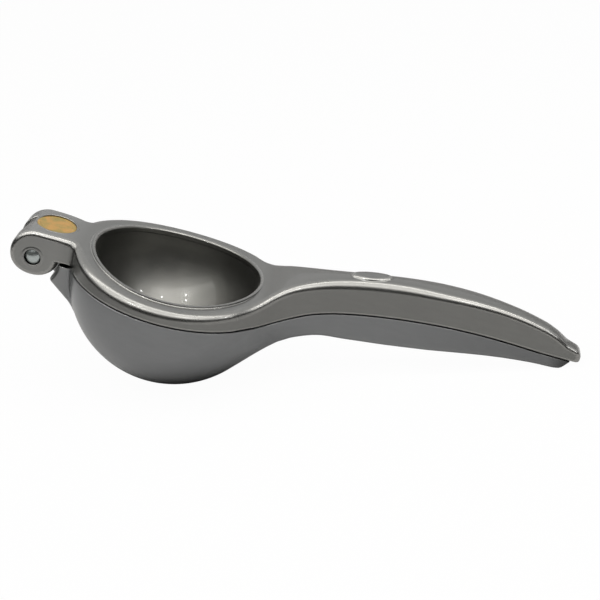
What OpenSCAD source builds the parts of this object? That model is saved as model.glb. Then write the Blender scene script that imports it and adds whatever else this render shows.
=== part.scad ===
// Hinged citrus squeezer: two cast arms that turn on one steel pin.
// The shapes are drawn in the arms' own frame: the origin is on the cup's axis, at the lowest point of the
// rim's top, X runs to the handles and Z is up. place() then lays the closed tool on its bowl and handle tip.

/* [Rim] */
// Outer radius of the rim, and of the bowl under it
rim_r = 39; // [35:0.5:44]
// Width of the rim's top, from its outer edge to the press cup's mouth
rim_land = 6; // [5:0.5:8]
// Depth of the rim, from its lowest top to the parting face
rim_depth = 5.7; // [4:0.1:9]
// Rise of the rim's top towards the hinge and the handle, at the outer radius
rim_rise = 4.26; // [0:0.01:6]
// Rounding of the rim's outer edge
rim_round = 2; // [1:0.1:2.4]
// Gap between the closed arms at the parting face
part_gap = 0.4; // [0.3:0.05:1]

/* [Press cup and bowl] */
// Room for the peel between the press cup and the bowl
press_room = 3.6; // [3:0.1:6]
// Wall of the press cup
press_wall = 2.6; // [2:0.1:4]
// Wall of the bowl
bowl_wall = 3.4; // [2.5:0.1:5]
// Height of the bowl's centre over the parting face
bowl_lift = 1.2; // [0:0.1:4]
// Diameter of a drain hole
drain_d = 3.2; // [2:0.1:3.4]
// Radius of the ring of drain holes
drain_ring_r = 5.5; // [4.5:0.1:6]
// Depth of the small flat that the bowl stands on
foot_depth = 0.35; // [0.2:0.05:0.6]

/* [Hinge] */
// Distance from the rim's outer edge to the pin
pin_reach = 12.5; // [12:0.1:14]
// Depth of the pin under the rim's lowest top
pin_drop = 5.9; // [5.7:0.1:7]
// Diameter of the pin
pin_d = 6.2; // [5:0.1:7]
// Radial running clearance of the pin in the tongue
pin_clear = 0.05; // [0.02:0.01:0.1]
// Depth of the pin's ends under the ears' faces
pin_sunk = 0.4; // [0.2:0.1:1]
// Radius of the two ears
ear_r = 9.2; // [8.5:0.1:9.5]
// Width over the two ears
hinge_w = 25.2; // [22:0.2:28]
// Width of the tongue between the ears
tongue_w = 9; // [7:0.5:11]
// Radius of the tongue round the pin
tongue_r = 6.2; // [5.5:0.1:6.6]
// Gap between the tongue and the slot, all round
slot_gap = 0.3; // [0.2:0.05:0.5]
// Radius of the hollow seat that the ears turn in
seat_r = 9.9; // [9.8:0.1:11]

/* [Handles] */
// Wall at the sides of the handles' hollow insides
handle_wall = 2.4; // [2:0.1:3]
// Floor of the handles' hollow insides
handle_floor = 3; // [2.5:0.1:4]
// Height of the crown along the top of the handle
handle_crown = 0.6; // [0:0.1:1]
// Height of the plain oval pad on the handle
pad_h = 0.8; // [0.4:0.1:1.2]

/* [Label] */
// Diameter of the round label
label_d = 15; // [13:0.2:15.4]
// Thickness of the label
label_t = 0.35; // [0.2:0.05:0.4]
// Depth of the label's recess
label_sunk = 0.7; // [0.5:0.05:0.7]

/* [Hidden] */
$fn = 96;

// Heights of the parting face on each arm, at the rim
part_z = -rim_depth;
half_gap = part_gap / 2;
over = 1;
far_out = 30;

// Pin, ears and seat
pin_x = -rim_r - pin_reach;
pin_z = -pin_drop;
ear_dx = 0.3;
ear_dz = 1;
ear_x = pin_x + ear_dx;
ear_z = pin_z + ear_dz;
ear_round = 1.5;
ear_trim_r = 12;
ear_trim_lift = 3.7;
shell_r = ear_r - 0.8;
shell_end = 3;
slot_r = tongue_r + slot_gap;
slot_w = tongue_w + 2 * slot_gap;
head_top = ear_z + ear_r;

// Web from the bowl to the hinge: its straight lower edge
web_w = 24.6;
web_low = [pin_x + 7.9, pin_z - 7.2];
web_foot = [7.8 - rim_r, part_z - 17];
web_in = 6 - rim_r;
web_out = -rim_r - 7;

// Bowl and press
bowl_z = part_z + bowl_lift;
bowl_in_r = rim_r - bowl_wall;
press_r = bowl_in_r - press_room;
mouth_r = rim_r - rim_land;
press_in_r = press_r - press_wall;
mouth_low = -0.6;
cone_low = -6;
drain_count = 6;

// Stations [d, half width], where d is how far along X the station lies from the rim's nearest end
function circle_w(x) = sqrt(rim_r * rim_r - x * x);
HEAD_W = [[-15, 12.6], [-11, 12.6], [-7, 12.4], [-3, 11.8], [-0.6, 11.6], [1.1, 12.6], [2.4, 14.8],
          [3.6, circle_w(rim_r - 3.6)], [5, circle_w(rim_r - 5)]];
HAND_W = [[-15, circle_w(rim_r - 15)], [-12, circle_w(rim_r - 12)], [-8, 23.3], [-5, 19.6], [-2, 16.2],
          [1, 13.4], [6, 10.5], [13, 8.1], [21, 6.5], [31, 5.8], [43, 5.8], [57, 6.3], [69, 5.8], [81, 4.9],
          [95, 4.3], [104, 3.8], [108, 3], [109.6, 2]];
LOW_W = [[-17, 24], [-13, 23.5], [-9, 22.5], [-7, 21.6], [-5, 19.6], [-2, 16.2], [1, 13.4], [6, 10.5],
         [13, 8.1], [21, 6.5], [31, 5.8], [43, 5.8], [57, 6.3], [69, 5.8], [81, 4.9], [95, 4.3],
         [102, 3.9], [106.2, 3]];
// [d, half width] of the lower handle's underside, narrower where it runs into the bowl
KEEL_W = [[-17, 6], [-13, 7.5], [-9, 9], [-3, 10], [3, 9.4], [11, 7.9], [21, 6.3], [31, 5.7], [43, 5.7],
          [57, 6.2], [69, 5.7], [81, 4.8], [95, 4.2], [102, 3.8], [106.2, 2.9]];
// [d, height] of the top, the parting face and the underside
HEAD_T = [[-15, head_top], [-7, head_top], [-1, 4.1], [3, 3.6], [6, 3.05], [9, 2.52]];
HAND_T = [[-11, 2.2], [-8, 2.8], [-5, 4.1], [-2, 6], [1, 7.9], [5, 9.8], [11, 11.9], [21, 14.5], [33, 17],
          [47, 19.1], [61, 20.1], [73, 20.1], [85, 19], [95, 17], [103, 14.4], [109.6, 11.4]];
PART = [[-9, part_z], [-4, part_z + 0.1], [1, -4.5], [7, -2.4], [13, -0.2], [21, 1.9], [33, 4.4], [47, 6.8],
        [59, 8.3], [71, 8.7], [83, 8.4], [95, 7.8], [109.6, 7.5]];
KEEL = [[-17, -35], [-13, -32.8], [-9, -29.2], [-6, -25.3], [-3, -21.3], [1, -17.2], [5, -14], [9, -11.3],
        [17, -8.5], [27, -7.5], [41, -5.6], [55, -3], [69, -0.4], [81, 1.4], [93, 2.8], [102, 3.1],
        [104, 3.9], [106.2, 5]];
// [d, edge rounding] and [d, crown], from the rim's handle end
ROUND = [[-2 * rim_r - 15, rim_round], [1, rim_round], [21, 1.8], [71, 1.8], [95, 1.4], [109.6, 1]];
CROWN = [[-2 * rim_r - 15, 0], [-5, 0], [21, handle_crown], [95, handle_crown], [109.6, 0.2]];

// Cubic curve through the stations of a table
function seg(t, x, i = 0) = (i >= len(t) - 2 || x < t[i + 1][0]) ? i : seg(t, x, i + 1);
function slope(t, i) = let (a = max(i - 1, 0), b = min(i + 1, len(t) - 1))
    (t[b][1] - t[a][1]) / (t[b][0] - t[a][0]);
function curve(t, x) = let (i = seg(t, x), h = t[i + 1][0] - t[i][0], u = (x - t[i][0]) / h)
    (2 * u * u * u - 3 * u * u + 1) * t[i][1] + (u * u * u - 2 * u * u + u) * h * slope(t, i)
    + (3 * u * u - 2 * u * u * u) * t[i + 1][1] + (u * u * u - u * u) * h * slope(t, i + 1);
// Straight lines through the stations of a table
function ramp(t, x) = let (i = seg(t, x), u = (x - t[i][0]) / (t[i + 1][0] - t[i][0]))
    t[i][1] + u * (t[i + 1][1] - t[i][1]);

rim_k = rim_rise / (rim_r * rim_r);
function half_w(x) = x + rim_r < 4.4 ? curve(HEAD_W, x + rim_r)
    : x - rim_r < -14 ? circle_w(x) : curve(HAND_W, x - rim_r);
function top(x) = x + rim_r < 8 ? curve(HEAD_T, x + rim_r)
    : x - rim_r < -10 ? rim_k * x * x : curve(HAND_T, x - rim_r);
function part(x) = x - rim_r < -7 ? part_z : curve(PART, x - rim_r);

// Stations of the upper arm from the hinge to the tip
HEAD_D = [-11, -8, -5, -3, -1.5, -0.4, 0.5, 1.3, 2.1, 2.9, 3.7];
HAND_D = [-10.5, -8.5, -6.5, -4.5, -2.5, -0.5, 2, 5, 9, 13, 17, 22, 28, 35, 43, 51, 59, 67, 74, 81, 88, 95,
          101, 105, 108, 109.6];
UP_X = concat([for (d = HEAD_D) d - rim_r], [for (a = [152:-8:48]) rim_r * cos(a)],
              [for (d = HAND_D) d + rim_r]);
// Stations of the lower handle, from inside the bowl's wall to the tip
LOW_D = [-17, -13, -10, -8, -6.5, -5, -3, -1, 1.5, 5, 9, 13, 17, 22, 28, 35, 43, 51, 59, 67, 74, 81, 88, 95,
         100, 102, 104, 106.2];
LOW_X = [for (d = LOW_D) d + rim_r];

// Outward normal of the plan outline w(x), at station i of the list xs with the half widths ws
function normal(xs, ws, i) = let (a = max(i - 1, 0), b = min(i + 1, len(xs) - 1),
    dx = xs[b] - xs[a], dw = ws[b] - ws[a], n = sqrt(dx * dx + dw * dw)) [-dw / n, dx / n];

// One side of a section: points [x, y, z] from the parting face over the rounded edge
EDGE_A = [0, 30, 60, 90];
UP_W = [for (x = UP_X) half_w(x)];
function up_side(i, s) = let (x = UP_X[i], w = UP_W[i], n = normal(UP_X, UP_W, i), r = ramp(ROUND, x - rim_r))
    concat([[x, s * w, part(x) + half_gap]],
           [for (a = EDGE_A) let (d = r * (1 - cos(a)))
               [x - d * n[0], s * (w - d * n[1]), top(x) - r + r * sin(a)]]);
function up_ridge(i) = let (x = UP_X[i], n = normal(UP_X, UP_W, i), r = ramp(ROUND, x - rim_r))
    [[x - r * n[0], 0, top(x) + ramp(CROWN, x - rim_r)]];
function flip(v) = [for (i = [len(v) - 1:-1:0]) v[i]];
function up_ring(i) = concat(up_side(i, 1), up_ridge(i), flip(up_side(i, -1)));

function keel(x) = curve(KEEL, x - rim_r);
function keel_w(x) = curve(KEEL_W, x - rim_r);
LOW_TOP_W = [for (d = LOW_D) curve(LOW_W, d)];
low_round = 1.6;
function low_side(i, s) = let (x = LOW_X[i], w = LOW_TOP_W[i], v = keel_w(x), b = keel(x),
    n = normal(LOW_X, LOW_TOP_W, i))
    concat([[x, s * w, part(x) - half_gap]],
           [for (a = EDGE_A) let (d = low_round * (1 - cos(a)))
               [x - d * n[0], s * (v - d * n[1]), b + low_round - low_round * sin(a)]]);
function low_ring(i) = concat(flip(low_side(i, 1)), low_side(i, -1));

// Triangles of a skin over m rings of k points, closed by a fan at each end
function skin(m, k) = concat(
    [for (i = [0:m - 2], j = [0:k - 1]) let (a = i * k + j, b = i * k + (j + 1) % k) [a, a + k, b + k]],
    [for (i = [0:m - 2], j = [0:k - 1]) let (a = i * k + j, b = i * k + (j + 1) % k) [a, b + k, b]],
    [for (j = [1:k - 2]) [0, j, j + 1]],
    [for (j = [1:k - 2]) [(m - 1) * k, (m - 1) * k + j + 1, (m - 1) * k + j]]);

module skinned(rings) {
    polyhedron(points = [for (r = rings) each r], faces = skin(len(rings), len(rings[0])), convexity = 6);
}

// Rest pose: the bowl's foot and the lower handle's tip stand on one plane
foot_r = rim_r - foot_depth;
tip_d = 102;
tip_i = search(tip_d, LOW_D)[0];
tip_x = LOW_X[tip_i] - low_round * normal(LOW_X, LOW_TOP_W, tip_i)[0];
tip_rise = keel(LOW_X[tip_i]) - bowl_z;
rest_tilt = asin(foot_r / sqrt(tip_x * tip_x + tip_rise * tip_rise)) + atan2(tip_rise, tip_x);
rest_z = foot_r - bowl_z * cos(rest_tilt);
function turned_x(p) = p[0] * cos(rest_tilt) + p[2] * sin(rest_tilt);
left_x = ear_x * cos(rest_tilt) + ear_z * sin(rest_tilt) - ear_r;
right_x = max([for (i = [len(UP_X) - 4:len(UP_X) - 1]) each [for (p = up_ring(i)) turned_x(p)]]);
rest_x = -(left_x + right_x) / 2;

module place() {
    translate([rest_x, 0, rest_z]) rotate([0, rest_tilt, 0]) children();
}

// A round piece along Y at [x, z], and a prism along Y from an outline in X and Z
module along_y(x, z, r, w) {
    translate([x, 0, z]) rotate([90, 0, 0]) cylinder(r = r, h = w, center = true);
}
module prism_y(outline, w) {
    rotate([90, 0, 0]) linear_extrude(height = w, center = true) polygon(outline);
}
module oval(l, w, h) {
    linear_extrude(height = h) polygon([for (a = [0:7.5:352.5]) [l / 2 * cos(a), w / 2 * sin(a)]]);
}

// A disc along Y with rounded rims
module rounded_disc(x, z, r, w, e) {
    translate([x, 0, z]) rotate([90, 0, 0]) rotate_extrude() {
        translate([0, -w / 2 + e]) square([r, w - 2 * e]);
        translate([0, -w / 2]) square([r - e, w]);
        translate([r - e, w / 2 - e]) circle(r = e);
        translate([r - e, -w / 2 + e]) circle(r = e);
    }
}

module ears() {
    intersection() {
        rounded_disc(ear_x, ear_z, ear_r, hinge_w, ear_round);
        rounded_disc(ear_x, ear_z + ear_trim_lift, ear_trim_r, hinge_w, ear_round);
    }
}

// Slot for the tongue: it is open below, and closed above by the head's top
module slot() {
    along_y(pin_x, pin_z, slot_r, slot_w);
    translate([pin_x - far_out, -slot_w / 2, pin_z - far_out]) cube([far_out, slot_w, far_out + shell_end]);
    translate([pin_x - over, -slot_w / 2, part_z - far_out]) cube([far_out / 2, slot_w, far_out + half_gap]);
    // the end of the head is a little lower between the ears
    difference() {
        translate([ear_x - far_out, -slot_w / 2, ear_z]) cube([far_out - over, slot_w, far_out]);
        along_y(ear_x, ear_z, shell_r, slot_w + over);
    }
}

module press_solid() {
    difference() {
        translate([0, 0, bowl_z]) sphere(r = press_r, $fn = 64);
        translate([-rim_r, -rim_r, part_z + over]) cube([2 * rim_r, 2 * rim_r, rim_r]);
    }
}
module press_hollow() {
    cone_r = sqrt(press_in_r * press_in_r - (cone_low - bowl_z) * (cone_low - bowl_z));
    difference() {
        translate([0, 0, bowl_z]) sphere(r = press_in_r, $fn = 64);
        translate([-rim_r, -rim_r, cone_low]) cube([2 * rim_r, 2 * rim_r, rim_r]);
    }
    translate([0, 0, cone_low]) cylinder(r1 = cone_r, r2 = mouth_r, h = mouth_low - cone_low);
    translate([0, 0, mouth_low]) cylinder(r = mouth_r, h = far_out);
}

// Hollow inside of a handle, open towards the other handle
HOLLOW_X = [for (d = [8, 13, 19, 27, 36, 45, 55, 65, 74, 82, 90, 97]) d + rim_r];
module upper_channel() {
    skinned([for (x = HOLLOW_X) let (w = half_w(x) - handle_wall, b = part(x) - over,
                                     t = top(x) - handle_floor)
        [[x, w, b], [x, w, t - over], [x, w - over, t], [x, over - w, t], [x, -w, t - over], [x, -w, b]]]);
}
module lower_channel() {
    skinned([for (x = HOLLOW_X) let (w = keel_w(x) - handle_wall, t = part(x) + over,
                                     b = keel(x) + handle_floor)
        [[x, w - over, b], [x, w, b + over], [x, w, t], [x, -w, t], [x, -w, b + over], [x, over - w, b]]]);
}

// The plain oval pad lies along the handle's top
pad_x = rim_r + 30.5;
pad_l = 15;
pad_w = 7;
pad_reach = 6;
pad_tilt = -atan2(top(pad_x + pad_reach) - top(pad_x - pad_reach), 2 * pad_reach);
module pad() {
    translate([pad_x, 0, top(pad_x) + handle_crown + pad_h - 2 * over])
        rotate([0, pad_tilt, 0]) oval(pad_l, pad_w, 2 * over);
}

module upper_arm() {
    color([0.47, 0.47, 0.46]) place() difference() {
        union() {
            skinned([for (i = [0:len(UP_X) - 1]) up_ring(i)]);
            ears();
            press_solid();
            pad();
        }
        press_hollow();
        upper_channel();
        slot();
        along_y(pin_x, pin_z, pin_d / 2, hinge_w + 2 * over);
        translate([label_x, 0, head_top - label_sunk]) cylinder(d = label_d, h = far_out);
    }
}

// Tongue: round the pin, with a lower edge that runs straight to the web's corner
tongue_reach = norm([web_low[0] - pin_x, web_low[1] - pin_z]);
tongue_a = atan2(web_low[1] - pin_z, web_low[0] - pin_x) - acos(tongue_r / tongue_reach);
web_in_tongue = -rim_r - 1;
module tongue() {
    along_y(pin_x, pin_z, tongue_r, tongue_w);
    prism_y([[pin_x, part_z - half_gap], [web_in_tongue, part_z - half_gap],
             [web_in_tongue, web_low[1] + (web_low[0] - web_in_tongue) * web_slope], web_low,
             [pin_x + tongue_r * cos(tongue_a), pin_z + tongue_r * sin(tongue_a)]], tongue_w);
}
web_slope = (web_low[1] - web_foot[1]) / (web_foot[0] - web_low[0]);
module web() {
    difference() {
        prism_y([[web_in, part_z - half_gap], [web_out, part_z - half_gap],
                 [web_out, web_low[1] + (web_low[0] - web_out) * web_slope], web_foot], web_w);
        along_y(pin_x, pin_z, seat_r, web_w + over);
    }
}

module drains() {
    for (i = [0:drain_count - 1]) rotate([0, 0, i * 360 / drain_count])
        translate([drain_ring_r, 0, bowl_z - rim_r - over]) cylinder(d = drain_d, h = 2 * bowl_wall + over);
    translate([0, 0, bowl_z - rim_r - over]) cylinder(d = drain_d, h = 2 * bowl_wall + over);
}

module lower_arm() {
    color([0.45, 0.45, 0.45]) place() difference() {
        union() {
            difference() {
                translate([0, 0, bowl_z]) sphere(r = rim_r, $fn = 64);
                translate([-far_out * 2, -far_out * 2, part_z - half_gap])
                    cube([far_out * 4, far_out * 4, far_out * 2]);
            }
            skinned([for (i = [0:len(LOW_X) - 1]) low_ring(i)]);
            web();
            tongue();
        }
        translate([0, 0, bowl_z]) sphere(r = bowl_in_r, $fn = 64);
        lower_channel();
        drains();
        along_y(pin_x, pin_z, pin_d / 2 + pin_clear, tongue_w + 2 * over);
        translate([0, 0, bowl_z]) rotate([0, -rest_tilt, 0])
            translate([-far_out / 2, -far_out / 2, -rim_r - over])
                cube([far_out, far_out, over + foot_depth]);
    }
}

pin_bevel = 0.5;
module hinge_pin() {
    pin_l = hinge_w - 2 * pin_sunk;
    color([0.68, 0.71, 0.73]) place() translate([pin_x, 0, pin_z]) rotate([90, 0, 0]) {
        cylinder(d = pin_d, h = pin_l - 2 * pin_bevel, center = true);
        for (s = [0, 1]) mirror([0, 0, s]) translate([0, 0, pin_l / 2 - pin_bevel])
            cylinder(d1 = pin_d, d2 = pin_d - 2 * pin_bevel, h = pin_bevel);
    }
}

label_x = pin_x + 4.5;
label_gap = 0.1;
module label() {
    color([0.8, 0.62, 0.28]) place() translate([label_x, 0, head_top - label_sunk])
        cylinder(d = label_d - 2 * label_gap, h = label_t);
}

upper_arm();
lower_arm();
hinge_pin();
label();
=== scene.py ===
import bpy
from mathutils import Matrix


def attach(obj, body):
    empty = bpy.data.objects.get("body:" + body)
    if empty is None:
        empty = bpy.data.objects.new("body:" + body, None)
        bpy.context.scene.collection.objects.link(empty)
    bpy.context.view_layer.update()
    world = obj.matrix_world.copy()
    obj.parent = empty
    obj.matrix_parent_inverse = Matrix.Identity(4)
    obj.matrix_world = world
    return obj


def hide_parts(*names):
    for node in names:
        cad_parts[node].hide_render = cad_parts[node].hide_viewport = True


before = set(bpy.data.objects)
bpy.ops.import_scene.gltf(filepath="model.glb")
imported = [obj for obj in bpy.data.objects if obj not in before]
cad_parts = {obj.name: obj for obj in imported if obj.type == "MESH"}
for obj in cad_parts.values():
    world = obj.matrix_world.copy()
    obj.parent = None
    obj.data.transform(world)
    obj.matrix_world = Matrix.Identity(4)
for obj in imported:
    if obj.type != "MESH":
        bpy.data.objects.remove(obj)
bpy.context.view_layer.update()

import math

import bpy
import numpy as np
from mathutils import Matrix, Vector

# ---------------------------------------------------------------- sizes

# The castings are worked out in millimetres in the arms' own frame: the origin is on the cup's axis at the
# lowest point of the rim's top, X runs to the handles and Z is up. to_row() lays them down in metres.
MM = 0.001
REST_TILT = math.radians(19.0009)
REST_X, REST_Z = -42.3897, 42.9048
# the finishes read a place in the arms' frame in centimetres
CM = 0.1

# the rim: its radius, how far its top rises to the hinge and to the handle, the height of the face where the
# castings part, and half of the play between them
RIM_R, RIM_RISE = 39.0, 4.26
RIM_K = RIM_RISE / RIM_R ** 2
PART_Z, HALF_GAP = -5.7, 0.2

# the bowl and the press cup are half spheres about one centre: its height, the bowl's inside, the cup's
# outside and inside, and the height over which the cup's inside widens to its mouth
BOWL_Z, BOWL_IN = -4.5, 35.6
PRESS_R, PRESS_IN, PRESS_FLARE = 32.0, 29.4, 11

# the lip round the mouth: its wall, its outer side, its height, the fillet at its foot, the seat cut for it,
# and the radius inside which the casting counts as the cup's lining
LIP_IN, LIP_OUT, LIP_UP, LIP_FOOT = 30.88, 32.62, 0.68, 0.45
LIP_SEAT, LIP_DEEP = 31.9, 0.8
MOUTH_EDGE = 31.2

# the hinge: the pin and its room in the tongue, the ears with the wider circle that trims them below, the
# half widths of the head and of the slot in it, the tongue and its room, and the web's round seat
PIN_X, PIN_Z, PIN_R, PIN_ROOM = -51.5, -5.9, 3.1, 0.05
EAR_X, EAR_Z, EAR_R = -51.2, -4.9, 9.2
TRIM_UP, TRIM_R = 3.7, 12
HEAD_TOP = EAR_Z + EAR_R
HINGE_HALF, SLOT_HALF = 12.6, 4.8
TONGUE_R, TONGUE_HALF, TONGUE_ROOM = 6.2, 4.5, 0.3
SEAT_R = 9.9
# the slot's open back rises this far above the pin, and its open underside runs this far to both sides of a
# place this far in front of the pin
SLOT_UP, SLOT_REACH, SLOT_AHEAD = 3, 8, 7
# between the ears, the head is lower by DIP from DIP_BACK behind the ears' middle
DIP, DIP_BACK = 0.8, 4.5

# the label and its recess, and the raised pad on the upper handle
LABEL_X, LABEL_R, LABEL_SUNK = -47.0, 7.5, 0.7
PAD_X, PAD_L, PAD_W, PAD_H, PAD_DEEP = 69.5, 7.5, 3.5, 0.8, 3
# where a ring lines them, the pin's bore and the label's recess are this much wider, the bore to this depth
RING_ROOM, RING_DEEP = 0.2, 1.3
# how far a ring stands off the face beside it
HAIR = 0.02

# the handles: where each ends, how the lower one's end leans, where their hollows run, how thick their flanks
# and backs are, and where the rim's circle gives way to the upper one's flanks
TIP_X, LOW_TIP_X, LOW_TIP_Z, TIP_LEAN = 148.9, 145.6, 7.2, 0.75
HOLLOW_FROM, HOLLOW_TO, FLANK, BACK = 47, 136, 2.4, 3
FLANK_FROM, FLANK_BLEND = 20.5, 7.5

# the lower handle: where it starts inside the bowl, the keel's rounding, and the fillet against the bowl,
# which grows from tight at the parting face to wide below it
LOW_FROM, LOW_ROUND = 12, 2.0
NECK_TIGHT, NECK_WIDE, NECK_DEEP = 0.8, 7.0, 9
# the web: the ends of its lower line, its half width, where it starts and ends and how far it lies below the
# parting face, and where the tongue's blade ends in it
WEB_LOW, WEB_FOOT = (PIN_X + 7.9, PIN_Z - 7.2), (7.8 - RIM_R, PART_Z - 17)
WEB_HALF, WEB_FROM, WEB_TO, WEB_DROP = 12.3, PIN_X + 2, -22, 0.9
BLADE_TO = -36
# the drain holes: how many on the ring, the ring's radius, their own radius, and what they lie below
DRAINS, DRAIN_RING, DRAIN_R, DRAIN_TOP = 6, 5.5, 1.6, -20


def to_row(p):
    """Arm frame to row frame: turned by the rest tilt about Y, moved to the rest place, then in metres."""
    c, s = math.cos(REST_TILT), math.sin(REST_TILT)
    x, y, z = p[:, 0], p[:, 1], p[:, 2]
    return np.stack([REST_X + x * c + z * s, y, REST_Z - x * s + z * c], 1) * MM


# ---------------------------------------------------------------- sizes along the arms

class Track:
    """A size that changes along X: a cubic through [x, size] stations with central slopes, then softened by a
    running mean of the given width, kept as fine samples."""

    STEP = 0.05

    def __init__(self, stations, soften=0.0):
        x, v = np.array(stations, float).T
        slope = np.empty_like(v)
        slope[1:-1] = (v[2:] - v[:-2]) / (x[2:] - x[:-2])
        slope[0], slope[-1] = (v[1] - v[0]) / (x[1] - x[0]), (v[-1] - v[-2]) / (x[-1] - x[-2])
        s = np.arange(x[0], x[-1], self.STEP)
        i = np.clip(np.searchsorted(x, s, side="right") - 1, 0, len(x) - 2)
        h = x[i + 1] - x[i]
        u = (s - x[i]) / h
        size = ((2 * u ** 3 - 3 * u ** 2 + 1) * v[i] + (u ** 3 - 2 * u ** 2 + u) * h * slope[i]
                + (3 * u ** 2 - 2 * u ** 3) * v[i + 1] + (u ** 3 - u ** 2) * h * slope[i + 1])
        n = int(soften / self.STEP / 2)
        if n:
            wide = np.concatenate([2 * size[0] - size[n:0:-1], size, 2 * size[-1] - size[-2:-n - 2:-1]])
            size = np.convolve(wide, np.ones(2 * n + 1) / (2 * n + 1), "valid")
        self.x, self.size, self.grad = s, size, np.gradient(size, s)

    def __call__(self, x):
        return np.interp(x, self.x, self.size)

    def slope(self, x):
        """How fast the size changes along X."""
        return np.interp(x, self.x, self.grad)

    def lean(self, x):
        """Length of the gradient of (height - size), which turns that difference into a distance."""
        return np.sqrt(1 + self.slope(x) ** 2)


def circle_w(x):
    """Half width of the rim's circle at x."""
    return math.sqrt(RIM_R ** 2 - x ** 2)


# half widths: the head, the flanks that both handles share, the upper handle, the lower one at the parting
# line and at its keel
HEAD_W = Track([[-70, HINGE_HALF], [-50, HINGE_HALF], [-46, 12.5], [-42, 12.2], [-38, 11.9], [-30, 11.8],
                [0, 11.8]])
FLANKS = [[34, 20.1], [37, 16.9], [40, 14.1], [45, 10.9], [52, 8.2], [60, 6.5], [70, 5.8], [82, 5.8],
          [96, 6.3], [108, 5.8], [120, 4.9], [134, 4.3]]
HAND_W = Track([[x, circle_w(x)] for x in (20, 24, 27)] + [[31, 23.5]] + FLANKS
               + [[143, 3.9], [152, 3.4]], 1.5)
LOW_W = Track([[20, 24], [28, 24], [31, 23]] + FLANKS + [[141, 3.9], [152, 3.4]], 1.5)
KEEL_W = Track([[20, 9], [30, 9.5], [36, 9.8], [42, 9.2], [50, 7.9], [60, 6.3], [70, 5.7], [82, 5.7],
                [96, 6.2], [108, 5.7], [120, 4.8], [134, 4.2], [141, 3.8], [152, 3.3]], 3)

# heights: the upper arm's top, the parting line and the lower handle's keel
TOP = Track([[-70, HEAD_TOP], [-46, HEAD_TOP], [-40, 4.1], [-36, 3.6], [-33, 3.05]]
            + [[x, RIM_K * x * x] for x in range(-30, 29, 3)]
            + [[28.5, 2.3], [31, 3.0], [34, 4.4], [37, 6.3], [40, 8.1], [44, 9.9], [50, 11.9], [60, 14.5],
               [72, 17], [86, 19.1], [100, 20.1], [112, 20.1], [124, 19], [134, 17], [138.5, 15.4],
               [141, 14.1], [143, 13.0], [145.5, 12.3], [148.6, 11.3], [152, 10]], 0.8)
PARTING = Track([[-70, PART_Z], [0, PART_Z], [28, PART_Z], [32, PART_Z], [35, PART_Z + 0.1], [40, -4.5],
                 [46, -2.4], [52, -0.2], [60, 1.9], [72, 4.4], [86, 6.8], [98, 8.3], [110, 8.7], [122, 8.4],
                 [134, 7.8], [152, 7.4]], 1)
KEEL = Track([[15, -26], [22, -24.2], [30, -21], [36, -18.2], [40, -16.1], [44, -13.7], [48, -11.3],
              [56, -8.5], [66, -7.5], [80, -5.6], [94, -3], [108, -0.4], [120, 1.4], [132, 2.7], [141, 3.0],
              [152, 3.4]], 1)

# the radius of the upper arm's top edges, and how much its top is crowned
EDGE = Track([[-70, 1.8], [-46, 1.9], [-38, 2.5], [-30, 3.2], [24, 3.2], [40, 3.0], [60, 2.9], [80, 2.6],
              [100, 2.1], [120, 1.6], [134, 1.3], [152, 0.9]])
CROWN = Track([[-70, 0], [34, 0], [56, 0.8], [100, 1.0], [134, 0.7], [152, 0.2]])


# ---------------------------------------------------------------- solids as distances, negative inside

def round_and(a, b, r):
    """What lies in both a and b, with the edge between them rounded to the radius r."""
    return np.minimum(np.maximum(a, b), -r) + np.hypot(np.maximum(a + r, 0), np.maximum(b + r, 0))


def fillet_or(a, b, r):
    """What lies in a or in b, with the corner between them filled to the radius r."""
    return -round_and(-a, -b, r)


def cut(a, b, r):
    """a without b, with the edge that is left rounded to the radius r."""
    return round_and(a, -b, r)


def from_pin(x, z):
    """Distance to the pin's axis."""
    return np.hypot(x - PIN_X, z - PIN_Z)


def from_centre(x, y, z):
    """Distance to the centre of the bowl's and the cup's spheres."""
    return np.sqrt(x ** 2 + y ** 2 + (z - BOWL_Z) ** 2)


def under_line(x, z, a, b):
    """Distance below the straight line from a to b in X and Z, positive under it."""
    dx, dz = b[0] - a[0], b[1] - a[1]
    n = math.hypot(dx, dz)
    return ((x - a[0]) * dz - (z - a[1]) * dx) / n


def channel(x, y, half, depth):
    """A handle's hollow: a flank's thickness inside the half width, where depth is negative."""
    hollow = round_and(np.abs(y) - (half - FLANK), depth, 1.2)
    return round_and(hollow, np.maximum(HOLLOW_FROM - x, x - HOLLOW_TO), 2.5)


def plan_side(x, y):
    """Distance to the upper arm's outline seen from above: the rim's circle, run with a fillet into the
    head's straight flanks on one side and into the handle's tapering flanks on the other."""
    ring = np.hypot(x, y) - RIM_R
    head = (np.abs(y) - HEAD_W(x)) / HEAD_W.lean(x)
    hand = (np.abs(y) - HAND_W(x)) / HAND_W.lean(x)
    blend = np.clip((x - FLANK_FROM) / FLANK_BLEND, 0, 1)
    blend = blend ** 2 * (3 - 2 * blend)
    return np.where(x < 0, fillet_or(ring, head, 1.4), ring * (1 - blend) + hand * blend)


def upper_plate(x, y, z):
    """The plate between the parting face and the top, from the ears' middle on, with the raised pad on its
    handle."""
    side = plan_side(x, y)
    crown = CROWN(x) * np.clip(1 - (y / HAND_W(x)) ** 2, 0, 1)
    top = (z - TOP(x) - crown) / TOP.lean(x)
    base = (PARTING(x) + HALF_GAP - z) / PARTING.lean(x)
    plate = round_and(round_and(side, top, EDGE(x)), x - TIP_X, 2.2)
    pad = (np.hypot((x - PAD_X) / PAD_L, y / PAD_W) - 1) * PAD_W
    pad = round_and(round_and(pad, top - PAD_H, 0.7), -PAD_DEEP - top, 0.1)
    plate = round_and(fillet_or(plate, pad, 0.3), base, 0.6)
    return np.maximum(plate, EAR_X - x)


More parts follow.
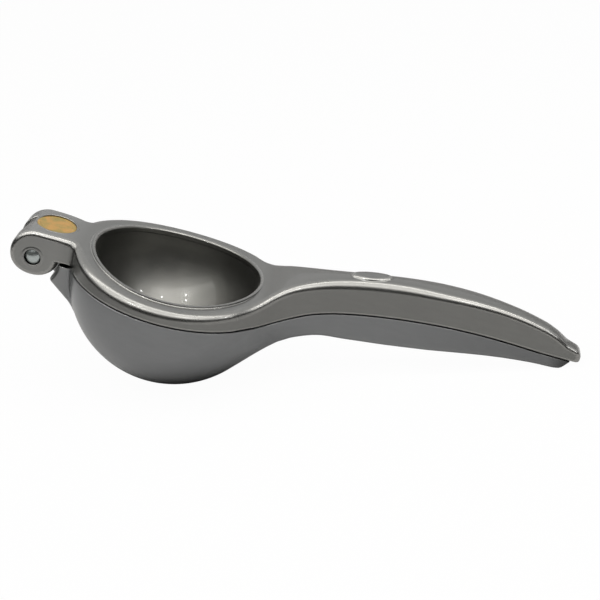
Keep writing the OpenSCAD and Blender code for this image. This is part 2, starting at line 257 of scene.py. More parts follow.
def ears(x, y, z):
    """The head as wide as both ears: a disc, trimmed below by a wider circle."""
    ear = np.hypot(x - EAR_X, z - EAR_Z) - EAR_R
    trim = np.hypot(x - EAR_X, z - EAR_Z - TRIM_UP) - TRIM_R
    return round_and(round_and(ear, trim, 1), (np.abs(y) - HEAD_W(x)) / HEAD_W.lean(x), EDGE(x))


def press_hollow(x, y, z):
    """The cup's inside: half a sphere whose radius grows along a bell curve of the height, so that it runs
    into an upright wall at the mouth, a hair outside the lip's own wall."""
    r = np.hypot(x, y)
    under = np.minimum(z - BOWL_Z, 0)
    return np.hypot(r, under) - PRESS_IN - (LIP_IN + HAIR - PRESS_IN) * np.exp(-(under / PRESS_FLARE) ** 2)


def slot(x, y, z):
    """Room for the tongue between the ears: a round well about the pin, open to the left and below."""
    well = from_pin(x, z) - (TONGUE_R + TONGUE_ROOM)
    back = np.maximum(x - PIN_X, z - PIN_Z - SLOT_UP)
    under = np.maximum(np.abs(x - PIN_X - SLOT_AHEAD) - SLOT_REACH, z - PART_Z - HALF_GAP)
    return np.maximum(np.minimum(np.minimum(well, back), under), np.abs(y) - SLOT_HALF)


def upper_arm(x, y, z):
    """The upper casting: the plate, the ears and the press cup under it, less the cup's inside, the lip's
    seat, the handle's hollow, the tongue's slot, the dip between the ears, the pin's bore and the label's
    recess."""
    body = np.minimum(upper_plate(x, y, z), ears(x, y, z))
    body = fillet_or(body, np.maximum(from_centre(x, y, z) - PRESS_R, z - PART_Z - 1), 1.2)
    body = cut(body, press_hollow(x, y, z), 0.3)
    body = cut(body, np.maximum(np.hypot(x, y) - LIP_SEAT, RIM_K * x ** 2 - LIP_DEEP - z), 0.1)
    body = cut(body, channel(x, y, HAND_W(x), z - TOP(x) + BACK), 0.6)
    body = cut(body, slot(x, y, z), 0.5)
    dip = np.maximum(np.maximum(x - EAR_X + DIP_BACK, EAR_Z - z), np.abs(y) - SLOT_HALF)
    body = cut(body, np.maximum(dip, EAR_R - DIP - np.hypot(x - EAR_X, z - EAR_Z)), 0.5)
    bore = from_pin(x, z) - PIN_R
    bore = np.minimum(bore, np.maximum(bore - RING_ROOM, HINGE_HALF - RING_DEEP - np.abs(y)))
    body = cut(body, bore, 0.15)
    recess = np.maximum(np.hypot(x - LABEL_X, y) - LABEL_R - RING_ROOM, HEAD_TOP - LABEL_SUNK - z)
    return cut(body, recess, 0.1)


def lower_handle(x, y, z):
    """The lower handle: its half width grows from the keel's to the parting line's along a quarter of a sine,
    and its end leans back."""
    keel, part = KEEL(x), PARTING(x) - HALF_GAP
    rise = np.clip((z - keel) / (part - keel), 0, 1.1)
    bulge, swell = np.sin(rise * np.pi / 2), LOW_W(x) - KEEL_W(x)
    half = KEEL_W(x) + swell * bulge
    steep = swell * np.cos(rise * np.pi / 2) * (np.pi / 2) / (part - keel)
    flank = (np.abs(y) - half) / np.sqrt(1 + (LOW_W.slope(x) * bulge) ** 2 + steep ** 2)
    handle = round_and(flank, (keel - z) / KEEL.lean(x), LOW_ROUND)
    end = (x - LOW_TIP_X + (LOW_TIP_Z - z) * TIP_LEAN) / math.hypot(1, TIP_LEAN)
    return round_and(handle, np.maximum(LOW_FROM - x, end), 0.9)


def web(x, y, z):
    """The web from hinge to bowl: what lies above its lower line, less the round seat for the ears."""
    body = np.maximum(under_line(x, z, WEB_LOW, WEB_FOOT), x - WEB_TO)
    body = round_and(body, np.abs(y) - WEB_HALF, 0.8)
    body = cut(body, from_pin(x, z) - SEAT_R, 1.5)
    return np.maximum(body, np.maximum(WEB_FROM - x, z - PART_Z + WEB_DROP))


def tongue(x, y, z, face):
    """The tongue: a disc about the pin, and a blade from it into the web. The blade's lower line leaves the
    disc at the heel, where it just touches it, and bends at WEB_LOW."""
    reach = math.hypot(WEB_LOW[0] - PIN_X, WEB_LOW[1] - PIN_Z)
    turn = math.atan2(WEB_LOW[1] - PIN_Z, WEB_LOW[0] - PIN_X) - math.acos(TONGUE_R / reach)
    heel = (PIN_X + TONGUE_R * math.cos(turn), PIN_Z + TONGUE_R * math.sin(turn))
    under = np.maximum(under_line(x, z, heel, WEB_LOW), under_line(x, z, WEB_LOW, WEB_FOOT))
    blade = np.maximum(np.maximum(under, face), np.maximum(PIN_X - x, x - BLADE_TO))
    return round_and(np.minimum(from_pin(x, z) - TONGUE_R, blade), np.abs(y) - TONGUE_HALF, 0.5)


def drains(x, y, z):
    """The drain holes in the bowl's bottom: one in the middle and a ring of them round it."""
    nearest = np.hypot(x, y)
    for k in range(DRAINS):
        a = math.radians(360 / DRAINS * k)
        nearest = np.minimum(nearest, np.hypot(x - DRAIN_RING * math.cos(a), y - DRAIN_RING * math.sin(a)))
    return np.maximum(nearest - DRAIN_R, z - DRAIN_TOP)


def lower_arm(x, y, z):
    """The lower casting: the bowl, run with a wide fillet into the handle's keel, the web and the tongue,
    less the inside, the handle's hollow, the drains, the bore and what would lie under the table."""
    face = (z - PARTING(x) + HALF_GAP) / PARTING.lean(x)
    depth = np.clip((PART_Z - 1 - z) / NECK_DEEP, 0, 1)
    neck = NECK_TIGHT + (NECK_WIDE - NECK_TIGHT) * depth ** 2 * (3 - 2 * depth)
    body = fillet_or(from_centre(x, y, z) - RIM_R, lower_handle(x, y, z), neck)
    body = fillet_or(body, web(x, y, z), 1.4)
    body = np.minimum(round_and(body, face, 0.25), tongue(x, y, z, face))
    body = cut(body, from_centre(x, y, z) - BOWL_IN, 0.6)
    body = cut(body, channel(x, y, KEEL_W(x), KEEL(x) + BACK - z), 0.6)
    body = cut(body, drains(x, y, z), 0.35)
    body = cut(body, from_pin(x, z) - PIN_R - PIN_ROOM, 0.3)
    ground = REST_Z - x * math.sin(REST_TILT) + z * math.cos(REST_TILT)
    return round_and(body, -ground, 0.3)


# ---------------------------------------------------------------- meshes

def steps(*runs):
    """Lattice lines: each run is (from, to, spacing), and a run starts where the one before it ends."""
    out = [np.array([runs[0][0]], float)]
    for a, b, h in runs:
        n = max(1, round((b - a) / h))
        out.append(np.linspace(a, b, n + 1)[1:])
    return np.concatenate(out)


def slope_of(field, p, h=0.02):
    """The field's value and gradient at scattered points, by central differences."""
    grad = np.empty_like(p)
    for i in range(3):
        d = np.zeros(3)
        d[i] = h
        a, b = p + d, p - d
        grad[:, i] = (field(*a.T) - field(*b.T)) / (2 * h)
    return field(*p.T), grad


def convexity(field, p, h=0.35):
    """How sharply a surface bends outwards at its points, in 1/mm: the field's second differences, summed."""
    total = -6 * field(*p.T)
    for d in np.eye(3) * h:
        total = total + field(*(p + d).T) + field(*(p - d).T)
    return total / h ** 2


def settle(field, p):
    """Moves points on to the surface by six Newton steps along the gradient, each 0.4 mm long at most."""
    for _ in range(6):
        value, grad = slope_of(field, p)
        move = -value[:, None] * grad / np.maximum((grad ** 2).sum(1), 0.05)[:, None]
        size = np.linalg.norm(move, axis=1, keepdims=True)
        p = p + move * np.minimum(1, 0.4 / np.maximum(size, 1e-9))
    return p


def crossed_edges(f, lines, a):
    """The lattice edges along axis a that the surface crosses: the numbers of the four cells round each, the
    point where it is crossed, and the quad between those cells, wound to face outwards."""
    b, c = (a + 1) % 3, (a + 2) % 3
    lo, hi = [slice(None)] * 3, [slice(None)] * 3
    lo[a], hi[a] = slice(None, -1), slice(1, None)
    at = np.nonzero((f[tuple(lo)] < 0) != (f[tuple(hi)] < 0))
    up = list(at)
    up[a] = up[a] + 1
    f0, f1 = f[at], f[tuple(up)]
    point = np.stack([line[i] for line, i in zip(lines, at)], 1)
    point[:, a] += f0 / (f0 - f1) * (lines[a][up[a]] - lines[a][at[a]])
    ring = []
    for db, dc in ((-1, -1), (0, -1), (0, 0), (-1, 0)):
        q = list(at)
        q[b], q[c] = q[b] + db, q[c] + dc
        ring.append((q[0] * (len(lines[1]) - 1) + q[1]) * (len(lines[2]) - 1) + q[2])
    quad = np.stack(ring, 1)
    return ring, point, np.where((f0 < 0)[:, None], quad, quad[:, ::-1])


def level_surface(field, xs, ys, zs):
    """The closed surface where field(x, y, z) is zero, on a lattice with uneven spacing whose levels rise and
    fall with the parting line. Each cell that the surface crosses gets one vertex, at the mean of where its
    edges are crossed, and each crossed lattice edge gets one quad between the four cells round it. The
    vertices are then settled on the surface. Gives the points, the quads and the surface's own normals."""
    lift = PARTING(xs) - PART_Z
    f = field(xs[:, None, None], ys[None, :, None], zs[None, None, :] + lift[:, None, None])
    f = np.broadcast_to(f, (len(xs), len(ys), len(zs)))
    ids, points, quads = [], [], []
    for a in range(3):
        ring, point, quad = crossed_edges(f, (xs, ys, zs), a)
        ids.extend(ring)
        points.extend([point] * len(ring))
        quads.append(quad)
    cell, index = np.unique(np.concatenate(ids), return_inverse=True)
    points, count = np.concatenate(points), np.bincount(index)
    p = np.stack([np.bincount(index, points[:, i]) / count for i in range(3)], 1)
    p[:, 2] += PARTING(p[:, 0]) - PART_Z
    p = settle(field, p)
    normal = slope_of(field, p, 0.08)[1]
    normal = normal / np.linalg.norm(normal, axis=1, keepdims=True)
    return p, np.searchsorted(cell, np.concatenate(quads)), normal


def turned(profile, sides, centre, along):
    """A surface of revolution: profile rows are (radius, height), swept round the axis 'y' or 'z' through
    centre. Rows of radius 0 at both ends close it, so each pole is a fan of the first or last ring."""
    a = np.linspace(0, 2 * np.pi, sides, endpoint=False)
    r, h = np.array(profile[1:-1], float).T
    rim = np.stack([r[:, None] * np.cos(a), r[:, None] * np.sin(a), np.repeat(h[:, None], sides, 1)], 2)
    points = np.concatenate([rim.reshape(-1, 3), [[0, 0, profile[0][1]], [0, 0, profile[-1][1]]]])
    i, j = np.meshgrid(np.arange(len(r) - 1), np.arange(sides), indexing="ij")
    k = (j + 1) % sides
    quads = np.stack([i * sides + j, i * sides + k, (i + 1) * sides + k, (i + 1) * sides + j], 2)
    s = np.arange(sides)
    n, last = len(points) - 2, (len(r) - 1) * sides
    low = np.stack([np.full(sides, n), (s + 1) % sides, s], 1)
    high = np.stack([np.full(sides, n + 1), last + s, last + (s + 1) % sides], 1)
    if along == "y":
        points = points[:, [1, 2, 0]]
    return points + np.array(centre), quads.reshape(-1, 4).tolist() + low.tolist() + high.tolist()


def swept(profile, turns):
    """A closed profile of (radius, height) rows swept round an upright axis. The rows go up the inner wall,
    out over the top, down the outer side and back below. Gives three rows of coordinates and the quads."""
    r, h = profile.T
    t = np.linspace(0, 2 * np.pi, turns, endpoint=False)
    i, j = np.meshgrid(np.arange(len(r)), np.arange(turns), indexing="ij")
    i2, j2 = (i + 1) % len(r), (j + 1) % turns
    quads = np.stack([i * turns + j, i2 * turns + j, i2 * turns + j2, i * turns + j2], 2).reshape(-1, 4)
    u, v = r[:, None] * np.cos(t), r[:, None] * np.sin(t)
    return u.ravel(), v.ravel(), np.repeat(h, turns), quads


def make_piece(name, points, faces, body, slot_name, nodes, finish, normals=None, marks=None):
    """A mesh object at the origin from points in the arm frame and lists of faces. Normals, where given, are
    the surface's own, and a row of zeros leaves a point's normal to its faces. Marks are values for each
    point that the finish reads as attributes."""
    mesh = bpy.data.meshes.new(name)
    mesh.from_pydata(to_row(points), [], faces)
    mesh.polygons.foreach_set("use_smooth", np.ones(len(mesh.polygons), bool))
    place = mesh.attributes.new("arm_place", "FLOAT_VECTOR", "POINT")
    place.data.foreach_set("vector", (points * CM).astype(np.float32).ravel())
    for mark, values in (marks or {}).items():
        layer = mesh.attributes.new(mark, "FLOAT", "POINT")
        layer.data.foreach_set("value", values.astype(np.float32))
    mesh.update()
    if normals is not None:
        origin = to_row(np.zeros((1, 3)))
        known = np.linalg.norm(normals, axis=1, keepdims=True) > 0.5
        mesh.normals_split_custom_set_from_vertices((to_row(normals) - origin) / MM * known)
    mesh.materials.append(finish)
    piece = bpy.data.objects.new(name, mesh)
    bpy.context.scene.collection.objects.link(piece)
    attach(piece, body)
    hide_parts(*nodes)


# ---------------------------------------------------------------- rings that line the upper casting's edges

def lip_ring(turns=240):
    """The raised lip round the mouth, lifted by the rim's own rise. Its profile goes up the cup's wall, over
    a quarter circle to a flat top, down a steep outer side and out along a concave quarter circle to the
    rim's top. Gives the points, the quads, how sharply they bend and which of them line the cup."""
    curl, deep = 0.9, 1.6
    a = np.linspace(0, np.pi / 2, 10)
    wall = np.stack([np.full(4, LIP_IN), np.linspace(-deep, LIP_UP - 1.0, 4)], 1)
    over = np.stack([LIP_IN + curl * (1 - np.cos(a)), LIP_UP - curl + curl * np.sin(a)], 1)
    top = np.array([[LIP_OUT - 0.5, LIP_UP + HAIR], [LIP_OUT - 0.09, LIP_UP], [LIP_OUT - 0.05, LIP_UP - 0.01],
                    [LIP_OUT - 0.04, LIP_UP - 0.05]])
    foot = np.stack([LIP_OUT + LIP_FOOT * (1 - np.cos(a)), LIP_FOOT * (1 - np.sin(a)) + 0.01], 1)
    back = np.array([[LIP_OUT + LIP_FOOT + 0.06, -0.06], [LIP_OUT + LIP_FOOT, -0.5], [LIP_IN + 0.4, -deep]])
    runs = (wall, over, top, foot, back)
    x, y, h, quads = swept(np.concatenate(runs), turns)
    bend = np.repeat([0, 0.5, 0.15, 0.45, 0], [len(run) for run in runs])
    lining = np.concatenate([np.ones(len(wall)), 1 - a / a[-1], np.zeros(len(bend) - len(wall) - len(over))])
    return np.stack([x, y, h + RIM_K * x ** 2], 1), quads, np.repeat(bend, turns), np.repeat(lining, turns)


def hole_edge(radius, rounding, land, depth):
    """Profile of a hole's rounded edge: up its wall from depth, over a quarter circle, and out over the land,
    a hair above the face that the hole is cut in."""
    a = np.linspace(0, np.pi / 2, 8)
    over = np.stack([radius + rounding * (1 - np.cos(a)), HAIR - rounding * (1 - np.sin(a))], 1)
    out = radius + rounding + land
    back = [[out, HAIR], [out + 0.1, -0.05], [out, -depth / 2], [radius + rounding, -depth]]
    return np.concatenate([[[radius, -depth]], over, back])


def hole_ring(x, y, z, h, quads):
    """What a hole's ring hands over, as lip_ring does: its top rows are a little rubbed, and no row lines the
    cup."""
    return np.stack([x, y, z], 1), quads, 0.2 * (h > -0.2), 0 * h


def recess_ring(turns=120):
    """The rounded edge of the label's recess. It follows the head's top, which falls along the ears' circle
    on the far side of the pin."""
    u, v, h, quads = swept(hole_edge(LABEL_R, 0.3, 0.5, LABEL_SUNK), turns)
    x = LABEL_X + u
    fall = EAR_R - np.sqrt(EAR_R ** 2 - np.minimum(x - EAR_X, 0) ** 2)
    return hole_ring(x, v, TOP(x) - fall + h, h, quads)


def bore_ring(side, turns=64):
    """The rounded mouth of the pin's bore in one ear: side is 1 or -1 along Y."""
    u, v, h, quads = swept(hole_edge(PIN_R + HAIR, 0.2, 0.95, 1.5), turns)
    x = PIN_X + u
    return hole_ring(x, side * (HEAD_W(x) + h), PIN_Z - side * v, h, quads)


# ---------------------------------------------------------------- pin and label

def domed_pin():
    """The pin: a straight shank with a bevelled edge and a domed face at each end. The face is an arc of a
    circle whose rim leans from flat by the angle dome."""
    dome, face, bevel, end = math.radians(30), 2.75, 0.3, HINGE_HALF - 0.1
    a = np.linspace(0, dome, 9)
    radius = face / math.sin(dome)
    arc_r, arc_h = radius * np.sin(a), radius * (np.cos(a) - 1) + end
    edge_r = np.array([face + bevel * 0.7, PIN_R - 0.03])
    edge_h = np.array([arc_h[-1] - bevel * 0.5, arc_h[-1] - bevel * 1.2])
    half = np.stack([np.concatenate([arc_r, edge_r]), np.concatenate([arc_h, edge_h])], 1)
    low = half * (1, -1)
    return turned(np.concatenate([low, half[::-1]]).tolist(), 96, (PIN_X, 0, PIN_Z), "y")


def foil_disc():
    """The label: a thin disc that fits its recess. Its top sags with the square of the radius, and carries a
    low ridge inside its rim, whose section is a bell curve."""
    play, thick, sag = 0.12, 0.35, 0.07
    ridge, ridge_in, ridge_half = 0.13, 0.7, 0.3
    base, r = HEAD_TOP - LABEL_SUNK, LABEL_R - play
    top = base + thick
    s = np.linspace(0, r - 0.12, 40)
    crown = top - sag * (s / r) ** 2 + ridge * np.exp(-((s - r + ridge_in) / ridge_half) ** 2) - 0.05
    rim = [[r - 0.04, top - 0.13], [r, top - 0.2], [r, base + 0.02], [r - 0.05, base]]
    profile = [[0, base]] + rim[::-1] + np.stack([s, crown], 1)[::-1].tolist()
    return turned(profile, 120, (LABEL_X, 0, 0), "z")


# ---------------------------------------------------------------- finishes

# linear red, green and blue
UPPER_PALE, UPPER_DARK = (0.19, 0.19, 0.182), (0.15, 0.151, 0.144)
LOWER_PALE, LOWER_DARK = (0.205, 0.21, 0.213), (0.165, 0.17, 0.174)
# the head's second grey is painted light: it makes the head paler
HEAD_PAINTED_LIGHT_GREY, RUBBED_GREY = (0.29, 0.292, 0.285), (0.34, 0.335, 0.32)
# the cup's second grey and the last grey are painted shade: for the cup's handle side and the lower handle's
# end
CUP_GREY, CUP_PAINTED_SHADE, TIP_PAINTED_SHADE = (0.172, 0.171, 0.158), (0.06, 0.06, 0.055), (0.02, 0.02, 0.02)
STEEL_DARK, STEEL_PALE = (0.36, 0.40, 0.40), (0.46, 0.49, 0.48)
GOLD_GREEN, GOLD_WARM, GOLD_GLINT = (0.36, 0.27, 0.07), (0.56, 0.31, 0.08), (0.75, 0.55, 0.26)


class Wire:
    """A node's output. Arithmetic on it adds Math nodes, so a pattern is written as a formula."""

    def __init__(self, nodes, socket):
        self.nodes, self.socket = nodes, socket

    def math(self, operation, *values):
        return self.nodes.node("ShaderNodeMath", {"operation": operation}, *values)

    def __add__(self, other):
        return self.math("ADD", self, other)

    def __sub__(self, other):
        return self.math("SUBTRACT", self, other)

    def __rsub__(self, other):
        return self.math("SUBTRACT", other, self)

    def __mul__(self, other):
        return self.math("MULTIPLY", self, other)

    __radd__, __rmul__ = __add__, __mul__

    def fade(self, start, end):
        """0 at start, 1 at end, and smooth between them; end may be the lower one."""
        return self.nodes.node("ShaderNodeMapRange", {"interpolation_type": "SMOOTHSTEP"}, self, start, end)


class Nodes:
    """The node tree of a material or a world."""

    def __init__(self, owner):
        owner.use_nodes = True
        self.owner, self.tree = owner, owner.node_tree

    def node(self, kind, settings=None, *values, out=0, **named):
        """Adds any node: its settings first, then its inputs in order or by name, and gives one output."""
        node = self.tree.nodes.new(kind)
        for key, value in (settings or {}).items():
            setattr(node, key, value)
        for key, value in list(enumerate(values)) + [(k.replace("_", " "), v) for k, v in named.items()]:
            self.feed(node.inputs[key], value)
        return Wire(self, node.outputs[out])

    def feed(self, socket, value):
        """Links a wire to the socket, or sets the socket to a plain value."""
        if isinstance(value, Wire):
            self.tree.links.new(value.socket, socket)
        else:
            socket.default_value = value

    def rays(self):
        """Three wires that are 1 for a ray from the camera, from a reflection and through glass."""
        ports = self.node("ShaderNodeLightPath").socket.node.outputs
        return [Wire(self, ports[name]) for name in ("Is Camera Ray", "Is Glossy Ray", "Is Transmission Ray")]


class Finish(Nodes):
    """A material and the kinds of pattern that it is made of."""

    def __init__(self, name):
        super().__init__(bpy.data.materials.new(name))

    def mark(self, name, out="Fac"):
        """What the mesh keeps under that name for each point."""
        return self.node("ShaderNodeAttribute", {"attribute_name": name}, out=out)

    def noise(self, place, scale, detail=2.0):
        return self.node("ShaderNodeTexNoise", None, Vector=place, Scale=scale, Detail=detail)

    def vector(self, operation, *values, out=0):
        return self.node("ShaderNodeVectorMath", {"operation": operation}, *values, out=out)

    def tint(self, amount, a, b):
        """Colour a where the amount is 0, colour b where it is 1, and a mix of them between."""
        mix = self.node("ShaderNodeMix", {"data_type": "RGBA"}, amount, out=2)
        first, second = (mix.socket.node.inputs[k] for k in (6, 7))
        for socket, colour in ((first, a), (second, b)):
            self.feed(socket, colour if isinstance(colour, Wire) else (*colour, 1))
        return mix

    def bump(self, height, strength, distance):
        return self.node("ShaderNodeBump", None, Height=height, Strength=strength, Distance=distance)

    def set(self, **values):
        """Feeds the surface's own sockets, and gives the material."""
        for key, value in values.items():
            self.feed(self.tree.nodes["Principled BSDF"].inputs[key.replace("_", " ")], value)
        return self.owner


def cast_finish(name, pale, dark, worn, cup):
    """Satin cast metal: a fine grain and slow patches in colour and gloss, painted light that makes the head
    paler, and edges rubbed brighter by the share worn. Where cup is true, the cup's inside is duller, with
    soft upright streaks, and painted shade darkens it on the handle's side. Otherwise painted shade darkens
    the handle to its end."""
    f = Finish(name)
    place = f.node("ShaderNodeTexCoord", out="Object")
    grain = f.noise(place, 2200.0, 3.0)
    fine = f.noise(place, 7500.0)
    patch = f.noise(place, 110.0)
    edge = f.mark("edge").fade(0.08, 0.6) * worn
    arm = f.mark("arm_place", "Vector")
    along = f.noise(f.vector("MULTIPLY", arm, (0.22, 1.0, 1.0)), 7.0, 3.0)
    shade = (patch - 0.5) * 0.5 + (grain - 0.5) * 0.2 + (along - 0.5) * 0.6 + 0.5
    reach = f.node("ShaderNodeSeparateXYZ", None, arm)
    colour = f.tint(shade, dark, pale)
    # painted light: the head is painted paler, as if more light fell on it
    colour = f.tint(reach.fade(-3.4, -4.4) * 0.4, colour, HEAD_PAINTED_LIGHT_GREY)
    colour = f.tint(edge, colour, RUBBED_GREY)
    rough = 0.31 + (patch - 0.5) * 0.08 + (along - 0.5) * 0.08 + (fine - 0.5) * 0.03 - edge * 0.1
    coat = edge * 0.05 + 0.2
    if cup:
        inside = f.mark("inside")
        streak = f.noise(f.vector("MULTIPLY", arm, (1.0, 1.0, 0.06)), 2.6)
        colour = f.tint(inside * (0.5 + streak * 0.5), colour, CUP_GREY)
        # painted shade: the cup's inside is darkened towards the handle's side
        colour = f.tint(inside * reach.fade(-0.5, 1.3) * 0.58, colour, CUP_PAINTED_SHADE)
        rough = rough + inside * 0.08 + inside * (streak - 0.5) * 0.1
        coat = coat + inside * 0.12
    else:
        # painted shade: the lower handle is darkened towards its end
        colour = f.tint(reach.fade(7.0, 14.0) * 0.22 + reach.fade(13.7, 14.5) * 0.6, colour, TIP_PAINTED_SHADE)
    return f.set(Base_Color=colour, Metallic=1.0, Roughness=rough, Coat_Weight=coat, Coat_Roughness=0.06,
                 Normal=f.bump(fine * 0.4 + grain, 0.04, 0.0001))


def pin_finish():
    """Satin steel: faint turned rings round the pin's own axis and a thin dull film."""
    f = Finish("satin_pin_steel")
    place = f.mark("arm_place", "Vector")
    off = f.vector("SUBTRACT", place, (PIN_X * CM, 0.0, PIN_Z * CM))
    radius = f.vector("LENGTH", f.vector("MULTIPLY", off, (1.0, 0.0, 1.0)), out=1)
    ring = f.noise(f.node("ShaderNodeCombineXYZ", None, radius * 60), 1.0, 1.0)
    film = f.noise(place, 9.0, 3.0)
    return f.set(Base_Color=f.tint(film, STEEL_DARK, STEEL_PALE), Metallic=1.0,
                 Roughness=0.2 + film * 0.14 + ring * 0.06, Normal=f.bump(ring, 0.1, 0.00006))


def foil_finish():
    """Plain gold foil: a warm and a greener gold in slow patches, with a fine pebbled grain."""
    f = Finish("gold_foil")
    place = f.mark("arm_place", "Vector")
    patch = f.noise(place, 2.4).fade(0.35, 0.65)
    pebble = f.noise(place, 34.0)
    colour = f.tint(patch, GOLD_GREEN, GOLD_WARM)
    colour = f.tint(pebble.fade(0.45, 0.75) * 0.3, colour, GOLD_GLINT)
    return f.set(Base_Color=colour, Metallic=1.0, Roughness=0.34 + (pebble - 0.5) * 0.2,
                 Normal=f.bump(pebble, 0.3, 0.00012))


# ---------------------------------------------------------------- pieces

def upper_casting():
    """The upper casting: its level surface, and the rings that line its edges, in one mesh."""
    points, quads, normals = level_surface(
        upper_arm,
        steps((-62, -36, 0.5), (-36, 36, 0.8), (36, 60, 0.75), (60, 136, 0.85), (136, 151, 0.45)),
        steps((-41, -13, 0.8), (-13, -5.5, 0.5), (-5.5, -4.3, 0.15), (-4.3, 4.3, 0.8), (4.3, 5.5, 0.15),
              (5.5, 13, 0.5), (13, 41, 0.8)),
        steps((-38, -9, 1.5), (-9, -6.3, 0.6), (-6.3, -4.7, 0.2), (-4.7, -0.6, 0.55), (-0.6, 10, 0.4)))
    lining = np.clip(1.2 + press_hollow(*points.T) / 0.3, 0, 1)
    lining = lining * (np.hypot(points[:, 0], points[:, 1]) < MOUTH_EDGE)
    parts = [(points, quads, convexity(upper_arm, points), lining),
             lip_ring(), recess_ring(), bore_ring(1), bore_ring(-1)]
    starts = np.cumsum([0] + [len(part[0]) for part in parts])
    all_points, bends, linings = (np.concatenate([part[k] for part in parts]) for k in (0, 2, 3))
    all_quads = np.concatenate([part[1] + start for part, start in zip(parts, starts)])
    all_normals = np.concatenate([normals, np.zeros((len(all_points) - len(points), 3))])
    make_piece("upper_casting", all_points, all_quads.tolist(), "upper", "cast_grey", ["upper_arm"],
               cast_finish("satin_cast_metal", UPPER_PALE, UPPER_DARK, 0.5, True), all_normals,
               {"edge": bends, "inside": linings})


def lower_casting():
    """The lower casting: its level surface."""
    points, quads, normals = level_surface(
        lower_arm,
        steps((-59, -30, 0.45), (-30, 30, 0.85), (30, 60, 0.65), (60, 136, 0.6), (136, 147, 0.5)),
        steps((-41, -13, 0.85), (-13, 13, 0.5), (13, 41, 0.85)),
        steps((-45, -13, 0.8), (-13, -7, 0.6), (-7, -6.3, 0.35), (-6.3, -5.8, 0.1), (-5.8, -3.4, 0.4)))
    make_piece("lower_casting", points, quads.tolist(), "lower", "cast_grey_low", ["lower_arm"],
               cast_finish("satin_cast_metal_low", LOWER_PALE, LOWER_DARK, 0.1, False), normals,
               {"edge": convexity(lower_arm, points)})


upper_casting()
lower_casting()
make_piece("pin", *domed_pin(), "upper", "pin_steel", ["hinge_pin"], pin_finish())
make_piece("foil_label", *foil_disc(), "upper", "label_gold", ["label"], foil_finish())


# ---------------------------------------------------------------- camera

# how far the camera is turned to the side, raised and rolled against the arm, its distance in metres, its
# lens over its sensor's width, and where the arm frame's origin lies in the picture, in pixels
CAMERA_TURN, CAMERA_RISE, CAMERA_ROLL = math.radians(5), math.radians(24.3), math.radians(13.52)
CAMERA_FAR, SENSOR, LENS = 0.6, 36, 2.7103
PICTURE, ORIGIN_X, ORIGIN_Y = 600, 176.83, 267.85


def aim_camera():
    """The camera's axes in the arm frame, turned with the arm to its rest place."""
    az, el, roll = CAMERA_TURN, CAMERA_RISE, CAMERA_ROLL
    back = Vector((math.sin(az) * math.cos(el), -math.cos(az) * math.cos(el), math.sin(el)))
    right = Vector((math.cos(az), math.sin(az), 0))
    up = back.cross(right)
    across = math.cos(roll) * right + math.sin(roll) * up
    upright = -math.sin(roll) * right + math.cos(roll) * up
    lay = Matrix.Rotation(REST_TILT, 3, "Y")
    across, upright, back = lay @ across, lay @ upright, lay @ back
    camera = bpy.data.objects.new("camera", bpy.data.cameras.new("camera"))
    bpy.context.scene.collection.objects.link(camera)
    place = Matrix((across, upright, back)).transposed().to_4x4()
    place.translation = Vector((REST_X, 0, REST_Z)) * MM + back * CAMERA_FAR
    camera.matrix_world = place
    camera.data.sensor_width = SENSOR
    camera.data.lens = LENS * SENSOR
    camera.data.shift_x = (PICTURE / 2 - ORIGIN_X) / PICTURE
    camera.data.shift_y = (ORIGIN_Y - PICTURE / 2) / PICTURE
    camera.data.clip_start, camera.data.clip_end = 0.05, 20
    bpy.context.scene.camera = camera


# ---------------------------------------------------------------- stage, in metres

# long soft boxes overhead: name, place along Y, height, length, depth, glow; and their light's colour
BOXES = [("box_over", -0.05, 0.9, 2.4, 0.14, 6.0), ("box_front", -0.62, 0.7, 1.8, 0.15, 3.0),
         ("box_wide", -0.38, 0.85, 2.0, 0.42, 1.5)]
BOX_LIGHT = (1.0, 0.975, 0.94)

# upright cards that only reflections see: name, grey, centre, direction along it, length, height
CARDS = [("card_front", 0.02, (0, -0.36, 0.14), (1, 0, 0), 1.2, 0.27),
         ("card_left", 0.02, (-0.6, -0.06, 0.14), (0, 1, 0), 0.6, 0.27),
         ("card_right", 0.02, (0.6, -0.06, 0.14), (0, 1, 0), 0.6, 0.27),
         ("card_back", 0.55, (0, 0.6, 0.13), (1, 0, 0), 1.6, 0.25)]

# round lamps, seen as points of light in the cup: name and direction; and their distance, width and glow
LAMPS = [("lamp_a", -0.12, -0.61, 0.78), ("lamp_b", -0.12, -0.51, 0.85), ("lamp_c", 0.44, -0.49, 0.75),
         ("lamp_d", 0.84, -0.26, 0.48)]
LAMP_FAR, LAMP_WIDE, LAMP_GLOW = 0.9, 0.03, 130

# the floor: its width, how far it lies under the object, and its paper's grey; then the share of white that
# the camera and reflections see in it, where the bowl stands, and the grey and two radii of a shadow painted
# under the bowl for reflections
FLOOR_WIDE, FLOOR_DROP, PAPER_GREY = 6, 0.00002, 0.645
SEEN_WHITE, GLOSSY_WHITE = 0.97, 0.1
FOOT = ((REST_X + BOWL_Z * math.sin(REST_TILT)) * MM, 0.0, 0.0)
PAINTED_SHADOW_GREY, PAINTED_SHADOW_FROM, PAINTED_SHADOW_FULL = 0.12, 0.034, 0.014

# how strongly the world lights what isn't seen directly, against 1 where it is seen
WORLD_GLOW = 0.35


def plate(name, finish, centre, along, across, wide, deep):
    """A flat stage plate: its corners are the centre, plus or minus half of each side."""
    c, u, v = (np.array(k, float) for k in (centre, along, across))
    corners = [c + u * i * wide / 2 + v * j * deep / 2 for i, j in ((-1, -1), (1, -1), (1, 1), (-1, 1))]
    mesh = bpy.data.meshes.new(name)
    mesh.from_pydata([tuple(k) for k in corners], [], [(0, 1, 2, 3)])
    mesh.materials.append(finish)
    made = bpy.data.objects.new(name, mesh)
    bpy.context.scene.collection.objects.link(made)
    return made


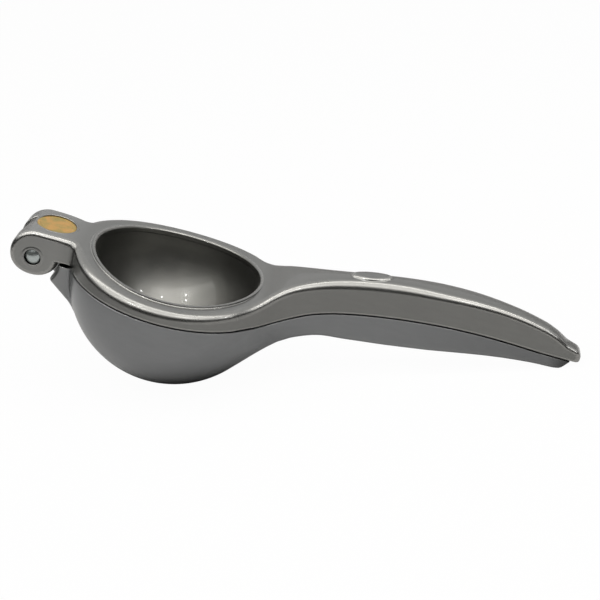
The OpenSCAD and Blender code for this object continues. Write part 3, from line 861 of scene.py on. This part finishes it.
def area_light(name, place, turn, colour, glow, wide, deep=None):
    """A light that the camera doesn't see: a box where deep is given, and a disc otherwise. Its power is pi
    times its area times its glow."""
    light = bpy.data.lights.new(name, "AREA")
    light.shape, light.size, light.color = "DISK", wide, colour
    area = math.pi * wide ** 2 / 4
    if deep:
        light.shape, light.size_y = "RECTANGLE", deep
        area = wide * deep
    light.energy = glow * math.pi * area
    made = bpy.data.objects.new(name, light)
    bpy.context.scene.collection.objects.link(made)
    made.location, made.rotation_euler = place, turn
    made.visible_camera = False


def white_world():
    """A world that the camera, reflections and glass see as white, and that lights the object less."""
    world = bpy.data.worlds.new("studio")
    bpy.context.scene.world = world
    w = Nodes(world)
    camera, glossy, glass = w.rays()
    seen = w.node("ShaderNodeMath", {"operation": "ADD", "use_clamp": True}, camera + glossy, glass)
    background = w.tree.nodes["Background"]
    w.feed(background.inputs["Color"], (1, 1, 1, 1))
    w.feed(background.inputs["Strength"], w.node("ShaderNodeMapRange", None, seen, To_Min=WORLD_GLOW))


def floor_finish():
    """White paper. What the camera sees is nearly all plain white, and the rest is the paper's own shading,
    and with it the object's shadow. Reflections see the shading, and a shadow painted dark under the bowl."""
    f = Finish("floor_paper")
    camera, glossy, glass = f.rays()
    seen = camera * SEEN_WHITE + glossy * GLOSSY_WHITE + glass * SEEN_WHITE
    white = f.node("ShaderNodeEmission", None, Color=(1, 1, 1, 1), Strength=1.0)
    paper = f.node("ShaderNodeBsdfDiffuse", None, Color=(PAPER_GREY, PAPER_GREY, PAPER_GREY, 1))
    painted_shadow = f.node("ShaderNodeBsdfDiffuse", None, Color=(PAINTED_SHADOW_GREY, PAINTED_SHADOW_GREY, PAINTED_SHADOW_GREY, 1))
    off = f.vector("DISTANCE", f.node("ShaderNodeTexCoord", out="Object"), FOOT, out=1)
    shown = f.node("ShaderNodeMixShader", None, seen, paper, white)
    # painted shadow: round the bowl's foot, reflections see a dark paper instead
    shown = f.node("ShaderNodeMixShader", None, off.fade(PAINTED_SHADOW_FROM, PAINTED_SHADOW_FULL) * glossy, shown, painted_shadow)
    f.feed(f.tree.nodes["Material Output"].inputs["Surface"], shown)
    return f.owner


def studio():
    """A white world and floor, four upright cards, three long soft boxes overhead and four small lamps."""
    white_world()
    plate("floor", floor_finish(), (0, 0, -FLOOR_DROP), (1, 0, 0), (0, 1, 0), FLOOR_WIDE, FLOOR_WIDE)
    for name, grey, centre, along, wide, high in CARDS:
        finish = Finish(name).set(Base_Color=(grey, grey, grey, 1), Roughness=0.8)
        card = plate(name, finish, centre, along, (0, 0, 1), wide, high)
        card.visible_camera = card.visible_diffuse = card.visible_shadow = False
    for name, back, high, wide, deep, glow in BOXES:
        area_light(name, (0, back, high), (math.atan2(-back, high), 0, 0), BOX_LIGHT, glow, wide, deep)
    for name, *way in LAMPS:
        turn = Vector(way).to_track_quat("Z", "Y").to_euler()
        area_light(name, Vector(way) * LAMP_FAR, turn, (1, 1, 1), LAMP_GLOW, LAMP_WIDE)


aim_camera()
studio()
bpy.context.scene.view_settings.view_transform = "Standard"
